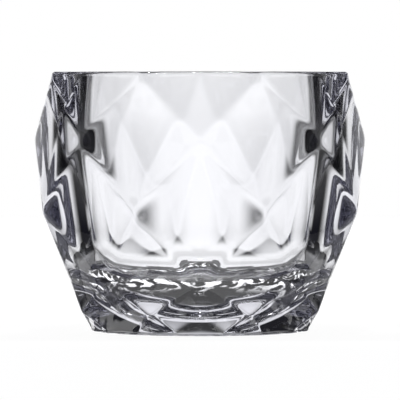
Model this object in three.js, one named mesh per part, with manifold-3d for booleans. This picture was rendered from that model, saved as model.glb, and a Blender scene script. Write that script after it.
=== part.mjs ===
// A faceted glass dappen dish: an eight-sided cup of thick pressed glass with a smooth round well.
// Millimetres, +Z up. The origin is the centre of the underside, and +Z is the dish's axis of symmetry.

import * as THREE from "three";
import { mergeVertices } from "three/addons/utils/BufferGeometryUtils.js";
import Module from "manifold-3d";

// Outer shape: rings of corners from the rim to the foot, joined by diamond facets. A corner's place round
// the axis is counted in turns from +X, two turns to a side: the shoulder and hip have their corners at
// even turns, the rim, waist and ankle at odd turns, and the sixteen-cornered foot halfway between turns.
const HEIGHT = 39;
const SIDES = 8;
const TURN = Math.PI / SIDES;
const RIM = { z: HEIGHT, radius: 23.85 };
const SHOULDER = { z: 28.95, radius: 25 };
const WAIST = { z: 18, radius: 25.45 };
const HIP = { z: 7.8, radius: 19.75 };
const ANKLE = { z: 3.25, radius: 19.2 };
const FOOT = { z: 0, radius: 16.6 };

// Well: a round cavity that tapers gently downwards and ends in a deep round bowl.
const WELL_MOUTH_RADIUS = 19;
const WELL_LOWER_RADIUS = 17.2;
const BOWL_TOP = 16.7;
const FLOOR_THICKNESS = 4.4;
const BOWL_SQUARENESS = 2.2;
const LIP_ROUND = 0.6;

// Underside: a shallow round recess, so that the dish stands on a flat foot ring.
const RECESS_RADIUS = 11;
const RECESS_DEPTH = 0.6;

const CUT_OVERSHOOT = 1;
const FACET_STEPS = 4;
const WELL_SEGMENTS = 64;
const BOWL_STEPS = 10;
const LIP_STEPS = 3;

function corner(ring, turn) {
  const angle = turn * TURN;
  return new THREE.Vector3(ring.radius * Math.cos(angle), ring.radius * Math.sin(angle), ring.z);
}

function middle(a, b) {
  return a.clone().lerp(b, 0.5);
}

// Four corners, counter-clockwise from outside, joined by a bilinear patch: flat where they lie in one plane,
// and gently saddled where they don't.
function addFacet(positions, a, b, c, d) {
  const point = (i, j) => {
    const lower = a.clone().lerp(b, i / FACET_STEPS);
    const upper = d.clone().lerp(c, i / FACET_STEPS);
    return lower.lerp(upper, j / FACET_STEPS);
  };
  for (let i = 0; i < FACET_STEPS; i += 1) {
    for (let j = 0; j < FACET_STEPS; j += 1) {
      const [p, q, r, s] = [point(i, j), point(i + 1, j), point(i + 1, j + 1), point(i, j + 1)];
      for (const vertex of [p, q, r, p, r, s]) {
        positions.push(vertex.x, vertex.y, vertex.z);
      }
    }
  }
}

// The flat rim and foot: triangles from the axis to each step of the facet edges round them.
function addCap(positions, corners, facingUp) {
  const centre = new THREE.Vector3(0, 0, corners[0].z);
  corners.forEach((start, index) => {
    const end = corners[(index + 1) % corners.length];
    for (let i = 0; i < 2 * FACET_STEPS; i += 1) {
      const from = start.clone().lerp(end, i / (2 * FACET_STEPS));
      const to = start.clone().lerp(end, (i + 1) / (2 * FACET_STEPS));
      for (const vertex of facingUp ? [centre, from, to] : [centre, to, from]) {
        positions.push(vertex.x, vertex.y, vertex.z);
      }
    }
  });
}

// One eighth of the outside, round the shoulder corner at the given turn.
function addSide(positions, turn) {
  const [rimLeft, rimRight] = [corner(RIM, turn - 1), corner(RIM, turn + 1)];
  const [shoulder, nextShoulder] = [corner(SHOULDER, turn), corner(SHOULDER, turn + 2)];
  const [waistLeft, waistRight] = [corner(WAIST, turn - 1), corner(WAIST, turn + 1)];
  const [hip, nextHip] = [corner(HIP, turn), corner(HIP, turn + 2)];
  const [ankleLeft, ankleRight] = [corner(ANKLE, turn - 1), corner(ANKLE, turn + 1)];
  const [footLeft, footRight, footNext] = [-0.5, 0.5, 1.5].map((offset) => corner(FOOT, turn + offset));
  addFacet(positions, rimLeft, shoulder, rimRight, middle(rimLeft, rimRight));
  addFacet(positions, shoulder, waistRight, nextShoulder, rimRight);
  addFacet(positions, waistLeft, hip, waistRight, shoulder);
  addFacet(positions, hip, ankleRight, nextHip, waistRight);
  addFacet(positions, ankleLeft, footLeft, middle(footLeft, footRight), hip);
  addFacet(positions, middle(footLeft, footRight), footRight, ankleRight, hip);
  addFacet(positions, footRight, middle(footRight, footNext), footNext, ankleRight);
}

function outsideGeometry() {
  const positions = [];
  for (let side = 0; side < SIDES; side += 1) {
    addSide(positions, 2 * side);
  }
  const rimCorners = Array.from({ length: SIDES }, (_, i) => corner(RIM, 2 * i + 1));
  const footCorners = Array.from({ length: 2 * SIDES }, (_, i) => corner(FOOT, i + 0.5));
  addCap(positions, rimCorners, true);
  addCap(positions, footCorners, false);
  const geometry = new THREE.BufferGeometry();
  geometry.setAttribute("position", new THREE.Float32BufferAttribute(positions, 3));
  return geometry;
}

// A lathed solid about +Z from a profile of (radius, height) points.
function lathe(profile) {
  const points = profile.map(([radius, height]) => new THREE.Vector2(radius, height));
  const geometry = new THREE.LatheGeometry(points, WELL_SEGMENTS);
  geometry.rotateX(Math.PI / 2);
  return geometry;
}

// The bowl is a superellipse, and the mouth flares in a quarter round to meet the flat rim.
function wellProfile() {
  const bowlDepth = BOWL_TOP - FLOOR_THICKNESS;
  const profile = [[0, FLOOR_THICKNESS]];
  for (let i = 1; i <= BOWL_STEPS; i += 1) {
    const angle = (i / BOWL_STEPS) * (Math.PI / 2);
    const out = Math.sin(angle) ** (2 / BOWL_SQUARENESS);
    const down = Math.max(Math.cos(angle), 0) ** (2 / BOWL_SQUARENESS);
    profile.push([WELL_LOWER_RADIUS * out, BOWL_TOP - bowlDepth * down]);
  }
  for (let i = 0; i <= LIP_STEPS; i += 1) {
    const angle = (i / LIP_STEPS) * (Math.PI / 2);
    const radius = WELL_MOUTH_RADIUS + LIP_ROUND * (1 - Math.cos(angle));
    profile.push([radius, HEIGHT - LIP_ROUND * (1 - Math.sin(angle))]);
  }
  profile.push([WELL_MOUTH_RADIUS + LIP_ROUND, HEIGHT + CUT_OVERSHOOT]);
  profile.push([0, HEIGHT + CUT_OVERSHOOT]);
  return profile;
}

function recessProfile() {
  return [[0, -CUT_OVERSHOOT], [RECESS_RADIUS, -CUT_OVERSHOOT], [RECESS_RADIUS, 0], [0, RECESS_DEPTH]];
}

const wasm = await Module();
wasm.setup();

function toSolid(geometry) {
  geometry.deleteAttribute("normal");
  geometry.deleteAttribute("uv");
  const merged = mergeVertices(geometry);
  const vertProperties = new Float32Array(merged.attributes.position.array);
  const triVerts = new Uint32Array(merged.index.array);
  return new wasm.Manifold(new wasm.Mesh({ numProp: 3, vertProperties, triVerts }));
}

function toGeometry(solid) {
  const mesh = solid.getMesh();
  const geometry = new THREE.BufferGeometry();
  geometry.setAttribute("position", new THREE.BufferAttribute(mesh.vertProperties, 3));
  geometry.setIndex(new THREE.BufferAttribute(mesh.triVerts, 1));
  geometry.computeVertexNormals();
  return geometry;
}

function dishGeometry() {
  const outside = toSolid(outsideGeometry());
  const well = toSolid(lathe(wellProfile()));
  const recess = toSolid(lathe(recessProfile()));
  return toGeometry(outside.subtract(well).subtract(recess));
}

const glass = new THREE.MeshStandardMaterial({ color: 0xf4f6f8, roughness: 0.03, metalness: 0 });
const dish = new THREE.Mesh(dishGeometry(), glass);
dish.name = "glass_dish";

const dappenDish = new THREE.Group();
dappenDish.add(dish);

export default dappenDish;
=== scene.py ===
"""A faceted glass dappen dish, pressed in one piece, on a pale studio floor."""
import math

import bmesh
import bpy
import numpy as np
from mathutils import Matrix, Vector


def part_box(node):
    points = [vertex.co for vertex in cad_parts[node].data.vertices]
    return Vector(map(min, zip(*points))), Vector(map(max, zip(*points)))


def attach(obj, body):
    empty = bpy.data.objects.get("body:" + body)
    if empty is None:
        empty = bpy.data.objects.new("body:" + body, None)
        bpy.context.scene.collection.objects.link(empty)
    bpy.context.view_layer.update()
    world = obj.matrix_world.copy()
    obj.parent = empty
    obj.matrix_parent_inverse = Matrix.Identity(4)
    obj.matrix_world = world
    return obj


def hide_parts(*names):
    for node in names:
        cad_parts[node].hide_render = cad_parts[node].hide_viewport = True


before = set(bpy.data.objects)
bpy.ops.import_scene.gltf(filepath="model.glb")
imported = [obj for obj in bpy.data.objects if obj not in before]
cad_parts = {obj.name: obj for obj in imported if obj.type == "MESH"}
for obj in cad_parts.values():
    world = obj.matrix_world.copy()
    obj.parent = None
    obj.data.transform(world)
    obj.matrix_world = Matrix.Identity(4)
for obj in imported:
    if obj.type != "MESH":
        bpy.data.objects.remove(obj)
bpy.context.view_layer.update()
DISH_LOW, DISH_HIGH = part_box("glass_dish")
HEIGHT = DISH_HIGH.z - DISH_LOW.z
RADIUS = (DISH_HIGH.x - DISH_LOW.x) / 2
MM = 0.001
WHITE = (1, 1, 1, 1)

# The radii of the rounded edges: the rim's outer edge, the lip round the well, and the foot's edge.
RIM_ROUND = 0.55 * MM
LIP_ROUND = 0.6 * MM
FOOT_ROUND = 0.4 * MM
RIM_BASE = HEIGHT - RIM_ROUND

# The outside is rings of corners from the rim to the foot, joined by diamond facets. Each ring is a
# radius and a level. Two turns make one of the eight sides. The shoulder and hip have their corners at
# even turns, the rim, waist and ankle at odd turns, and the foot its sixteen corners halfway between.
SIDES = 8
TURN = math.pi / SIDES
RIM = (0.954 * RADIUS, RIM_BASE)
SHOULDER = (1.0 * RADIUS, 0.7423 * HEIGHT)
WAIST = (1.018 * RADIUS, 0.4615 * HEIGHT)
HIP = (0.79 * RADIUS, 0.2 * HEIGHT)
ANKLE = (0.768 * RADIUS, 0.0833 * HEIGHT)
FOOT = (0.664 * RADIUS, FOOT_ROUND)

# The well tapers to a deep round bowl, whose profile is a superellipse.
MOUTH_RADIUS = 0.76 * RADIUS
BOWL_RADIUS = 0.688 * RADIUS
BOWL_TOP = 0.428 * HEIGHT
FLOOR_LEVEL = 0.113 * HEIGHT
BOWL_SQUARENESS = 2.2

# The underside is slightly hollow.
RECESS_RADIUS = 0.44 * RADIUS
RECESS_DEPTH = 0.5 * MM

# How finely the surfaces are divided. The shares place the rings across the flat rim, the flat foot and
# the hollow: the first two as parts of the way inwards, and the last as parts of its radius.
FACET_STEPS = 30
ROUND_STEPS = 6
WALL_STEPS = 8
BOWL_STEPS = 40
RIM_SHARES = (0.03, 0.2, 0.5, 0.8, 0.97, 1)
FOOT_SHARES = (0.05, 0.5, 0.95)
HOLLOW_SHARES = (1, 0.97, 0.9, 0.8, 0.6, 0.4, 0.2)

# Neighbouring facets are joined where their points are this close, and their edges are then softened.
WELD_DISTANCE = 0.0005 * MM
LEVEL_TOLERANCE = 0.0001 * MM
MELT_PASSES = 5


def corner(ring, turn):
    radius, level = ring
    angle = turn * TURN
    return np.array([radius * math.cos(angle), radius * math.sin(angle), level])


def facet(a, b, c, d):
    """The points of a bilinear patch between four corners."""
    u = np.linspace(0, 1, FACET_STEPS + 1)[:, None, None]
    v = np.linspace(0, 1, FACET_STEPS + 1)[None, :, None]
    return (a * (1 - u) + b * u) * (1 - v) + (d * (1 - u) + c * u) * v


def side_facets(turn):
    """One eighth of the outside, round the shoulder corner at a turn, counter-clockwise from outside."""
    rim_left, rim_right = corner(RIM, turn - 1), corner(RIM, turn + 1)
    shoulder, next_shoulder = corner(SHOULDER, turn), corner(SHOULDER, turn + 2)
    waist_left, waist_right = corner(WAIST, turn - 1), corner(WAIST, turn + 1)
    hip, next_hip = corner(HIP, turn), corner(HIP, turn + 2)
    ankle_left, ankle_right = corner(ANKLE, turn - 1), corner(ANKLE, turn + 1)
    foot_left, foot_right, foot_next = (corner(FOOT, turn + offset) for offset in (-0.5, 0.5, 1.5))
    front = (foot_left + foot_right) / 2
    return [
        facet(rim_left, shoulder, rim_right, (rim_left + rim_right) / 2),
        facet(shoulder, waist_right, next_shoulder, rim_right),
        facet(waist_left, hip, waist_right, shoulder),
        facet(hip, ankle_right, next_hip, waist_right),
        facet(ankle_left, foot_left, front, hip),
        facet(front, foot_right, ankle_right, hip),
        facet(foot_right, (foot_right + foot_next) / 2, foot_next, ankle_right),
    ]


def weld(grids):
    """The points, edges and faces of all the patches, with the points on shared edges joined."""
    points = np.concatenate([grid.reshape(-1, 3) for grid in grids])
    n = FACET_STEPS + 1
    cell = (np.arange(n - 1)[:, None] * n + np.arange(n - 1)[None, :]).ravel()
    quad = np.stack([cell, cell + n, cell + n + 1, cell + 1], axis=1)
    quads = np.concatenate([quad + i * n * n for i in range(len(grids))])
    mesh = bpy.data.meshes.new("weld")
    mesh.from_pydata(points.tolist(), [], quads.tolist())
    bm = bmesh.new()
    bm.from_mesh(mesh)
    bmesh.ops.remove_doubles(bm, verts=bm.verts, dist=WELD_DISTANCE)
    bm.verts.index_update()
    points = np.array([vertex.co for vertex in bm.verts])
    edges = np.array([[vertex.index for vertex in edge.verts] for edge in bm.edges])
    faces = [[vertex.index for vertex in face.verts] for face in bm.faces]
    bm.free()
    bpy.data.meshes.remove(mesh)
    return points, edges, faces


def melt(points, edges):
    """Softens the facet edges, as fire polishing does, but keeps the rim's and the foot's levels. Also
    returns which points are the rim's and which are the foot's."""
    rim = points[:, 2] > RIM_BASE - LEVEL_TOLERANCE
    foot = points[:, 2] < FOOT_ROUND + LEVEL_TOLERANCE
    count = np.bincount(edges.ravel(), minlength=len(points))[:, None]
    for _ in range(MELT_PASSES):
        total = np.zeros_like(points)
        np.add.at(total, edges[:, 0], points[edges[:, 1]])
        np.add.at(total, edges[:, 1], points[edges[:, 0]])
        points = (points + total / count) / 2
        points[rim, 2] = RIM_BASE
        points[foot, 2] = FOOT_ROUND
    return points, rim, foot


def loop(points, chosen):
    """The indices of the chosen points, in their order round the axis."""
    indices = np.flatnonzero(chosen)
    return indices[np.argsort(np.arctan2(points[indices, 1], points[indices, 0]))]


def polar(points):
    """The direction of each point from the axis, and its distance from it."""
    angles = np.arctan2(points[:, 1], points[:, 0])
    return np.stack([np.cos(angles), np.sin(angles)], axis=1), np.hypot(points[:, 0], points[:, 1])


def rings_at(around, places):
    """A ring of points for each place: its radius, which may differ from point to point, and its level."""
    count = len(around)
    rings = []
    for radius, level in places:
        radii = np.broadcast_to(radius, count)[:, None]
        rings.append(np.hstack([around * radii, np.full((count, 1), level)]))
    return rings


def between(start, end, share):
    return start * (1 - share) + end * share


def quarter(steps):
    """Sine and cosine pairs through a quarter turn, without the start."""
    angles = [(i + 1) / steps * math.pi / 2 for i in range(steps)]
    return [(math.sin(angle), math.cos(angle)) for angle in angles]


def inner_rings(rim_points):
    """Rings from the rim's outer edge over the lip and down the well, with a point for each rim point."""
    around, outer = polar(rim_points)
    lip_radius = MOUTH_RADIUS + LIP_ROUND
    wall_top = HEIGHT - LIP_ROUND
    bowl_depth = BOWL_TOP - FLOOR_LEVEL
    power = 2 / BOWL_SQUARENESS
    places = []
    for sine, cosine in quarter(ROUND_STEPS):
        places.append((outer - RIM_ROUND * (1 - cosine), RIM_BASE + RIM_ROUND * sine))
    for share in RIM_SHARES:
        places.append((between(outer - RIM_ROUND, lip_radius, share), HEIGHT))
    for sine, cosine in quarter(ROUND_STEPS):
        places.append((lip_radius - LIP_ROUND * sine, HEIGHT - LIP_ROUND * (1 - cosine)))
    for i in range(1, WALL_STEPS + 1):
        share = i / WALL_STEPS
        places.append((between(MOUTH_RADIUS, BOWL_RADIUS, share), between(wall_top, BOWL_TOP, share)))
    for sine, cosine in quarter(BOWL_STEPS)[:-1]:
        places.append((BOWL_RADIUS * cosine ** power, BOWL_TOP - bowl_depth * sine ** power))
    return rings_at(around, places)


def under_rings(foot_points):
    """Rings from the foot's outer edge under the dish towards its hollow middle."""
    around, outer = polar(foot_points)
    places = []
    for sine, cosine in quarter(ROUND_STEPS):
        places.append((outer - FOOT_ROUND * (1 - cosine), FOOT_ROUND * (1 - sine)))
    for share in FOOT_SHARES:
        places.append((between(outer - FOOT_ROUND, RECESS_RADIUS, share), 0))
    for share in HOLLOW_SHARES:
        places.append((RECESS_RADIUS * share, RECESS_DEPTH * (1 - share ** 2)))
    return rings_at(around, places)


def close_with(faces, points, boundary, rings, tip, upward):
    """Closes a boundary with rings of quads and a tip on the axis. Adds the new faces, which look up or
    down, to the faces, and returns the old and new points together."""
    count = len(boundary)
    rows = [list(boundary)]
    for i in range(len(rings)):
        start = len(points) + i * count
        rows.append(list(range(start, start + count)))
    tip_index = len(points) + len(rings) * count
    steps = [(i, (i + 1) % count) for i in range(count)]
    added = []
    for outer, inner in zip(rows[:-1], rows[1:]):
        added += [[outer[i], outer[j], inner[j], inner[i]] for i, j in steps]
    added += [[rows[-1][i], rows[-1][j], tip_index] for i, j in steps]
    faces += added if upward else [face[::-1] for face in added]
    return np.concatenate([points, *rings, np.array([[0, 0, tip]])])


def dish_mesh():
    """The whole dish as one closed mesh."""
    grids = [grid for side in range(SIDES) for grid in side_facets(2 * side)]
    points, edges, faces = weld(grids)
    points, rim, foot = melt(points, edges)
    rim_loop, foot_loop = loop(points, rim), loop(points, foot)
    inner, under = inner_rings(points[rim_loop]), under_rings(points[foot_loop])
    points = close_with(faces, points, rim_loop, inner, FLOOR_LEVEL, True)
    points = close_with(faces, points, foot_loop, under, RECESS_DEPTH, False)
    mesh = bpy.data.meshes.new("dish")
    mesh.from_pydata((points + [0, 0, DISH_LOW.z]).tolist(), [], faces)
    mesh.shade_smooth()
    return mesh


def maths(tree, operation, *values):
    """The output of a maths node whose inputs are sockets or numbers."""
    node = tree.nodes.new("ShaderNodeMath")
    node.operation = operation
    for slot, value in zip(node.inputs, values):
        if isinstance(value, bpy.types.NodeSocket):
            tree.links.new(value, slot)
        else:
            slot.default_value = value
    return node.outputs["Value"]


def ramp(tree, value, start_end, low_high, interpolation="LINEAR"):
    """Carries a value from its start and end to a low and a high."""
    node = tree.nodes.new("ShaderNodeMapRange")
    node.interpolation_type = interpolation
    node.inputs["From Min"].default_value, node.inputs["From Max"].default_value = start_end
    node.inputs["To Min"].default_value, node.inputs["To Max"].default_value = low_high
    tree.links.new(value, node.inputs["Value"])
    return node.outputs["Result"]


def blend(tree, share, low, high):
    """From low to high as the share goes from 0 to 1."""
    rest = maths(tree, "MULTIPLY", maths(tree, "SUBTRACT", 1, share), low)
    return maths(tree, "MULTIPLY_ADD", share, high, rest)


def coordinate(tree, kind):
    """The X, Y and Z of a kind of texture coordinate."""
    node = tree.nodes.new("ShaderNodeSeparateXYZ")
    tree.links.new(tree.nodes.new("ShaderNodeTexCoord").outputs[kind], node.inputs["Vector"])
    return node.outputs["X"], node.outputs["Y"], node.outputs["Z"]


def from_axis(tree):
    """The distance from the upright axis through the object's origin."""
    x, y, _ = coordinate(tree, "Object")
    squares = maths(tree, "ADD", maths(tree, "POWER", x, 2), maths(tree, "POWER", y, 2))
    return maths(tree, "SQRT", squares)


def noise(tree, scale, detail, distortion=0):
    """Noise in the object's own frame."""
    node = tree.nodes.new("ShaderNodeTexNoise")
    node.inputs["Scale"].default_value = scale
    node.inputs["Detail"].default_value = detail
    node.inputs["Distortion"].default_value = distortion
    tree.links.new(tree.nodes.new("ShaderNodeTexCoord").outputs["Object"], node.inputs["Vector"])
    return node.outputs["Fac"]


def is_camera_ray(tree):
    return tree.nodes.new("ShaderNodeLightPath").outputs["Is Camera Ray"]


# The glass, which takes off a little more light the further it passes through. The density is per metre.
GLASS_TINT = (0.98, 0.983, 0.99, 1)
GLASS_IOR = 1.52
ABSORPTION_COLOUR = (0.5, 0.5, 0.6, 1)
ABSORPTION_DENSITY = 20

# Waves are the mould's faint unevenness. Haze is the trace of wear on the surface, and grows from none to
# its full roughness as the noise goes through the haze range.
WAVE_SCALE = 120
WAVE_DETAIL = 1
WAVE_STRENGTH = 0.12
WAVE_DEPTH = 0.02 * MM
HAZE_SCALE = 260
HAZE_DETAIL = 3
HAZE_RANGE = (0.35, 0.75)
HAZE_ROUGHNESS = 0.008

# The foot is finely ground where it stands, and turns to polished glass between these two levels.
GROUND_ROUGHNESS = 0.25
GROUND_EDGE = (0.02 * MM, 0.06 * MM)


def add_waves(tree, shader):
    bump = tree.nodes.new("ShaderNodeBump")
    bump.inputs["Strength"].default_value = WAVE_STRENGTH
    bump.inputs["Distance"].default_value = WAVE_DEPTH
    tree.links.new(noise(tree, WAVE_SCALE, WAVE_DETAIL), bump.inputs["Height"])
    tree.links.new(bump.outputs["Normal"], shader.inputs["Normal"])


def add_roughness(tree, shader):
    """Haze on the polished glass, and the ground foot."""
    haze = ramp(tree, noise(tree, HAZE_SCALE, HAZE_DETAIL), HAZE_RANGE, (0, HAZE_ROUGHNESS))
    _, _, level = coordinate(tree, "Object")
    polished = ramp(tree, level, GROUND_EDGE, (0, 1))
    tree.links.new(blend(tree, polished, GROUND_ROUGHNESS, haze), shader.inputs["Roughness"])


def add_absorption(tree):
    inside = tree.nodes.new("ShaderNodeVolumeAbsorption")
    inside.inputs["Color"].default_value = ABSORPTION_COLOUR
    inside.inputs["Density"].default_value = ABSORPTION_DENSITY
    tree.links.new(inside.outputs["Volume"], tree.nodes["Material Output"].inputs["Volume"])


def glass_material():
    material = bpy.data.materials.new("pressed_glass")
    material.use_nodes = True
    tree = material.node_tree
    shader = tree.nodes["Principled BSDF"]
    shader.inputs["Base Color"].default_value = GLASS_TINT
    shader.inputs["IOR"].default_value = GLASS_IOR
    shader.inputs["Transmission Weight"].default_value = 1
    add_waves(tree, shader)
    add_roughness(tree, shader)
    add_absorption(tree)
    return material


def build_dish():
    dish = bpy.data.objects.new("dappen_dish_glass", dish_mesh())
    bpy.context.scene.collection.objects.link(dish)
    dish.data.materials.append(glass_material())
    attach(dish, "root")
    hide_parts("glass_dish")


def sheet(name, corners, place, rotation=(0, 0, 0)):
    """A flat sheet of the studio, from its corners in its own frame."""
    mesh = bpy.data.meshes.new(name)
    mesh.from_pydata(corners, [], [(0, 1, 2, 3)])
    thing = bpy.data.objects.new(name, mesh)
    bpy.context.scene.collection.objects.link(thing)
    thing.location = place
    thing.rotation_euler = rotation
    return thing


def rectangle(width, height):
    x, y = width / 2, height / 2
    return [(-x, -y, 0), (x, -y, 0), (x, y, 0), (-x, y, 0)]


def emission_material(name):
    """A material that only glows, with its tree and the socket for its strength."""
    material = bpy.data.materials.new(name)
    material.use_nodes = True
    tree = material.node_tree
    tree.nodes.clear()
    output = tree.nodes.new("ShaderNodeOutputMaterial")
    emission = tree.nodes.new("ShaderNodeEmission")
    tree.links.new(emission.outputs["Emission"], output.inputs["Surface"])
    return material, tree, emission.inputs["Strength"]


# The floor is pale to the camera. To the glass it is dim, apart from a painted pool of light round the
# dish and a painted glow and painted streaks of light under it. These stand in for the light that the dish
# would gather there. A fade is the distances from the axis at which a glow has gone and is full. Streaks
# are where the noise is past the streak edge.
FLOOR_SIDE = 1.0
FLOOR_GAP = 0.05 * MM
FLOOR_COLOUR = (0.03, 0.03, 0.035, 1)
FLOOR_ROUGHNESS = 0.9
FLOOR_SPECULAR = 0.1
FLOOR_GLOW = 0.96
POOL_GLOW = 0.19
POOL_FADE = (3.2 * RADIUS, 1.6 * RADIUS)
UNDER_GLOW = 0.08
UNDER_FADE = (1.0 * RADIUS, 0.75 * RADIUS)
STREAK_GLOW = 1.8
STREAK_SCALE = 240
STREAK_DETAIL = 2
STREAK_DISTORTION = 1.5
STREAK_EDGE = (0.52, 0.6)
STREAK_FADE = (0.3 * RADIUS, 0.6 * RADIUS)


def floor_for_glass(tree):
    """How brightly the floor glows to the glass, with its painted pool of light, glow and streaks."""
    # Painted light: a pool of light round the dish, and a glow with streaks like caustics under it.
    out = from_axis(tree)
    pool = ramp(tree, out, POOL_FADE, (0, POOL_GLOW), "SMOOTHSTEP")
    under = ramp(tree, out, UNDER_FADE, (0, 1), "SMOOTHSTEP")
    lines = noise(tree, STREAK_SCALE, STREAK_DETAIL, STREAK_DISTORTION)
    streaks = ramp(tree, lines, STREAK_EDGE, (0, STREAK_GLOW), "SMOOTHSTEP")
    streak_share = ramp(tree, out, STREAK_FADE, (0, 1), "SMOOTHSTEP")
    # Painted caustics: streaks of glow under the dish, over a faint painted glow.
    painted_caustic_glow = maths(tree, "MULTIPLY_ADD", streak_share, streaks, UNDER_GLOW)
    return blend(tree, under, pool, painted_caustic_glow)


def build_floor():
    floor = sheet("studio_floor", rectangle(FLOOR_SIDE, FLOOR_SIDE), (0, 0, DISH_LOW.z - FLOOR_GAP))
    material = bpy.data.materials.new("pale_floor")
    material.use_nodes = True
    tree = material.node_tree
    shader = tree.nodes["Principled BSDF"]
    shader.inputs["Base Color"].default_value = FLOOR_COLOUR
    shader.inputs["Roughness"].default_value = FLOOR_ROUGHNESS
    shader.inputs["Specular IOR Level"].default_value = FLOOR_SPECULAR
    shader.inputs["Emission Color"].default_value = WHITE
    glow = blend(tree, is_camera_ray(tree), floor_for_glass(tree), FLOOR_GLOW)
    tree.links.new(glow, shader.inputs["Emission Strength"])
    floor.data.materials.append(material)


# Softboxes round the dish, which the camera doesn't see. Each has its direction from the dish as an
# azimuth, where 0 is behind it, and an elevation, then its half width and half height, all in degrees,
# its glow, and the share of it that its soft edge takes. Between them the room stays dark.
SOFTBOX_DISTANCE = 0.9
ROOM_GLOW = 0.01
SOFTBOXES = {
    "back_softbox": (0, 4, 52, 26, 1.24, 0.9),
    "high_softbox": (0, 38, 22, 6, 1.0, 0.2),
    "right_softbox": (90, 5, 16, 20, 0.75, 0.5),
    "left_softbox": (-90, 5, 16, 20, 0.75, 0.5),
    "front_softbox": (180, 5, 50, 24, 0.85, 0.7),
}


def edge_fade(tree, place, soft_share):
    """1 in the middle of a 0 to 1 coordinate, falling smoothly to 0 at both of its ends."""
    from_middle = maths(tree, "ABSOLUTE", maths(tree, "SUBTRACT", place, 0.5))
    return ramp(tree, from_middle, (0.5, 0.5 - 0.5 * soft_share), (0, 1), "SMOOTHSTEP")


def build_softbox(name, azimuth, elevation, half_width, half_height, glow, soft_share):
    azimuth, elevation = math.radians(azimuth), math.radians(elevation)
    level = math.cos(elevation)
    outward = Vector((math.sin(azimuth) * level, math.cos(azimuth) * level, math.sin(elevation)))
    size = [2 * SOFTBOX_DISTANCE * math.tan(math.radians(half)) for half in (half_width, half_height)]
    place = outward * SOFTBOX_DISTANCE + Vector((0, 0, HEIGHT / 2))
    facing = (-outward).to_track_quat("Z", "Y").to_euler()
    softbox = sheet(name, rectangle(*size), place, facing)
    material, tree, strength = emission_material(name + "_glow")
    across, along, _ = coordinate(tree, "Generated")
    fade = maths(tree, "MULTIPLY", edge_fade(tree, across, soft_share), edge_fade(tree, along, soft_share))
    tree.links.new(maths(tree, "MULTIPLY_ADD", fade, glow, ROOM_GLOW), strength)
    softbox.data.materials.append(material)
    softbox.visible_camera = False


# Glowing cards on the floor round the dish, which light nothing and show only in the glass and in
# reflections:
# painted light, standing in for a lit floor there. Each is a wedge
# glow. Its sides are soft. Going outwards, it dims over the distances of the dim start, and its glow comes
# back over those of the dim end. The gaps between the cards keep the dish's edges dark.
CARD_NEAR = 0.026
CARD_FAR = 0.5
CARD_LIFT = 0.1 * MM
CARD_SOFT_SHARE = 0.35
CARD_DIM = 0.76
CARD_DIM_START = (0.034, 0.045)
CARD_DIM_END = (0.05, 0.25)
CARDS = {
    "back_card": (0, 43, 1.22),
    "front_card": (180, 62, 0.85),
    "right_card": (90, 13, 0.65),
    "left_card": (-90, 13, 0.65),
}


def build_card(name, azimuth, half_angle, glow):
    half_angle = math.radians(half_angle)
    near, far = CARD_NEAR * math.tan(half_angle), CARD_FAR * math.tan(half_angle)
    corners = [(-near, CARD_NEAR, 0), (near, CARD_NEAR, 0), (far, CARD_FAR, 0), (-far, CARD_FAR, 0)]
    card = sheet(name, corners, (0, 0, DISH_LOW.z + CARD_LIFT), (0, 0, -math.radians(azimuth)))
    # Painted light: the card glows by itself and lights nothing, so the glass shows it as a lit floor.
    material, tree, strength = emission_material(name + "_glow")
    across, away, _ = coordinate(tree, "Object")
    angle = maths(tree, "ABSOLUTE", maths(tree, "ARCTAN2", across, away))
    side_fade = (half_angle, half_angle * (1 - CARD_SOFT_SHARE))
    wedge = ramp(tree, angle, side_fade, (0, glow), "SMOOTHSTEP")
    dimming = ramp(tree, away, CARD_DIM_START, (1, CARD_DIM))
    recovering = ramp(tree, away, CARD_DIM_END, (CARD_DIM, 1))
    tree.links.new(maths(tree, "MULTIPLY", wedge, maths(tree, "MAXIMUM", dimming, recovering)), strength)
    card.data.materials.append(material)
    card.visible_camera = False
    card.visible_diffuse = False
    card.visible_shadow = False


# A long narrow lamp above the dish and behind it, which makes the small highlight in the well's floor.
LAMP_PLACE = Vector((0, 0.25, 0.8))
LAMP_AIM = Vector((0, 0.3, 0))
LAMP_SIZE = (0.08, 0.5)
LAMP_POWER = 0.5
LAMP_SPREAD = math.radians(14)


def build_lamp():
    light = bpy.data.lights.new("top_softbox", "AREA")
    light.shape = "RECTANGLE"
    light.size, light.size_y = LAMP_SIZE
    light.energy = LAMP_POWER
    light.spread = LAMP_SPREAD
    lamp = bpy.data.objects.new("top_softbox", light)
    bpy.context.scene.collection.objects.link(lamp)
    lamp.location = LAMP_PLACE
    lamp.rotation_euler = (LAMP_AIM - LAMP_PLACE).to_track_quat("-Z", "Y").to_euler()
    lamp.visible_camera = False


ROOM_COLOUR = (0.01, 0.01, 0.014, 1)


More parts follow.
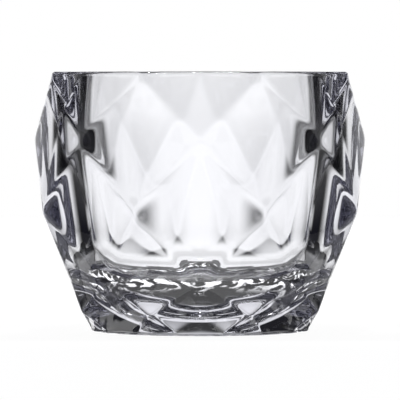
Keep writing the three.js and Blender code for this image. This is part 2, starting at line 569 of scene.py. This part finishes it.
def build_world():
    """White for the camera, and a dark room for everything that the glass bends or mirrors."""
    world = bpy.data.worlds.new("studio")
    bpy.context.scene.world = world
    world.use_nodes = True
    tree = world.node_tree
    mix = tree.nodes.new("ShaderNodeMix")
    mix.data_type = "RGBA"
    mix.inputs["A"].default_value = ROOM_COLOUR
    mix.inputs["B"].default_value = WHITE
    tree.links.new(is_camera_ray(tree), mix.inputs["Factor"])
    tree.links.new(mix.outputs["Result"], tree.nodes["Background"].inputs["Color"])


# The camera stands in front of the dish, just above the rim's level, and looks at the dish's middle. The
# width seen is what the picture takes in at that point.
CAMERA_DISTANCE = 0.68
CAMERA_LEVEL = 1.0236 * HEIGHT
AIM_LEVEL = 0.503 * HEIGHT
WIDTH_SEEN = 1.207 * 2 * RADIUS
SENSOR_WIDTH = 36
CLIP_START = 0.01
CLIP_END = 100


def build_camera():
    eye = Vector((0, -CAMERA_DISTANCE, DISH_LOW.z + CAMERA_LEVEL))
    aim = Vector((0, 0, DISH_LOW.z + AIM_LEVEL))
    data = bpy.data.cameras.new("camera")
    camera = bpy.data.objects.new("camera", data)
    bpy.context.scene.collection.objects.link(camera)
    camera.location = eye
    camera.rotation_euler = (aim - eye).to_track_quat("-Z", "Y").to_euler()
    data.sensor_width = SENSOR_WIDTH
    data.lens = SENSOR_WIDTH * (aim - eye).length / WIDTH_SEEN
    data.clip_start = CLIP_START
    data.clip_end = CLIP_END
    bpy.context.scene.camera = camera


# Light passes through many glass surfaces before it leaves the dish.
GLASS_BOUNCES = 32
GLOSSY_BOUNCES = 16


def set_view():
    scene = bpy.context.scene
    scene.view_settings.view_transform = "Standard"
    scene.cycles.max_bounces = GLASS_BOUNCES
    scene.cycles.transmission_bounces = GLASS_BOUNCES
    scene.cycles.glossy_bounces = GLOSSY_BOUNCES


build_dish()
build_floor()
for name, setting in SOFTBOXES.items():
    build_softbox(name, *setting)
for name, setting in CARDS.items():
    build_card(name, *setting)
build_lamp()
build_world()
build_camera()
set_view()
